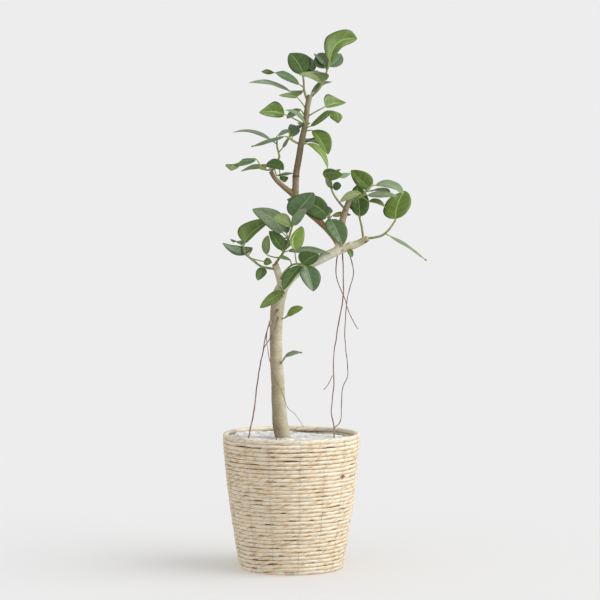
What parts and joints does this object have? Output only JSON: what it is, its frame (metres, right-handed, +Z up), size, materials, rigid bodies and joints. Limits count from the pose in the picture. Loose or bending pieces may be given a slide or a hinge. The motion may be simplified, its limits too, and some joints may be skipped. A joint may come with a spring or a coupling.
{
  "type": "potted bengal fig",
  "caption": "Young bengal fig with a leaning forked trunk, broad oval leaves and hanging aerial roots, in a coiled straw-rope basket.",
  "frame": {"origin": "middle of the basket's flat underside", "axes": "+Z up the plant, -Y the front that the picture shows, +X to the picture's right"},
  "size_m": [0.447, 0.304, 1.1831],
  "materials": {
    "straw_rope": "dry matte straw",
    "rim_rope": "dry matte straw",
    "potting_soil": "moist dark soil",
    "clear_film": "crumpled clear film",
    "pale_bark": "smooth matte bark",
    "root_bark": "matte",
    "fig_leaf": "waxy satin leaf"
  },
  "bodies": {
    "root": {"basket": "straw_rope", "basket_rim": "rim_rope", "soil": "potting_soil", "liner_film": "clear_film", "trunk": "pale_bark", "main_bough": "pale_bark", "right_bough": "pale_bark", "leader_limb": "pale_bark", "left_stub": "pale_bark", "leader": "pale_bark", "riser": "pale_bark", "low_stub": "pale_bark", "aerial_root_long": "root_bark", "aerial_root_second": "root_bark", "aerial_root_free": "root_bark", "aerial_root_rootlet": "root_bark", "aerial_root_left": "root_bark", "aerial_root_left_branch": "root_bark", "aerial_root_fine": "root_bark", "aerial_root_basal": "root_bark", "crown_top": "fig_leaf", "leader_leaves": "fig_leaf", "left_shoot": "fig_leaf", "low_left_shoot": "fig_leaf", "middle_shoot": "fig_leaf", "fork_shoot": "fig_leaf", "right_bough_shoot": "fig_leaf", "centre_shoot": "fig_leaf", "riser_left_shoot": "fig_leaf", "riser_top_shoot": "fig_leaf", "right_tip_shoot": "fig_leaf", "bough_leaf": "fig_leaf", "trunk_leaf_upper": "fig_leaf", "trunk_leaf_middle": "fig_leaf", "trunk_leaf_lower": "fig_leaf"}
  },
  "joints": []
}
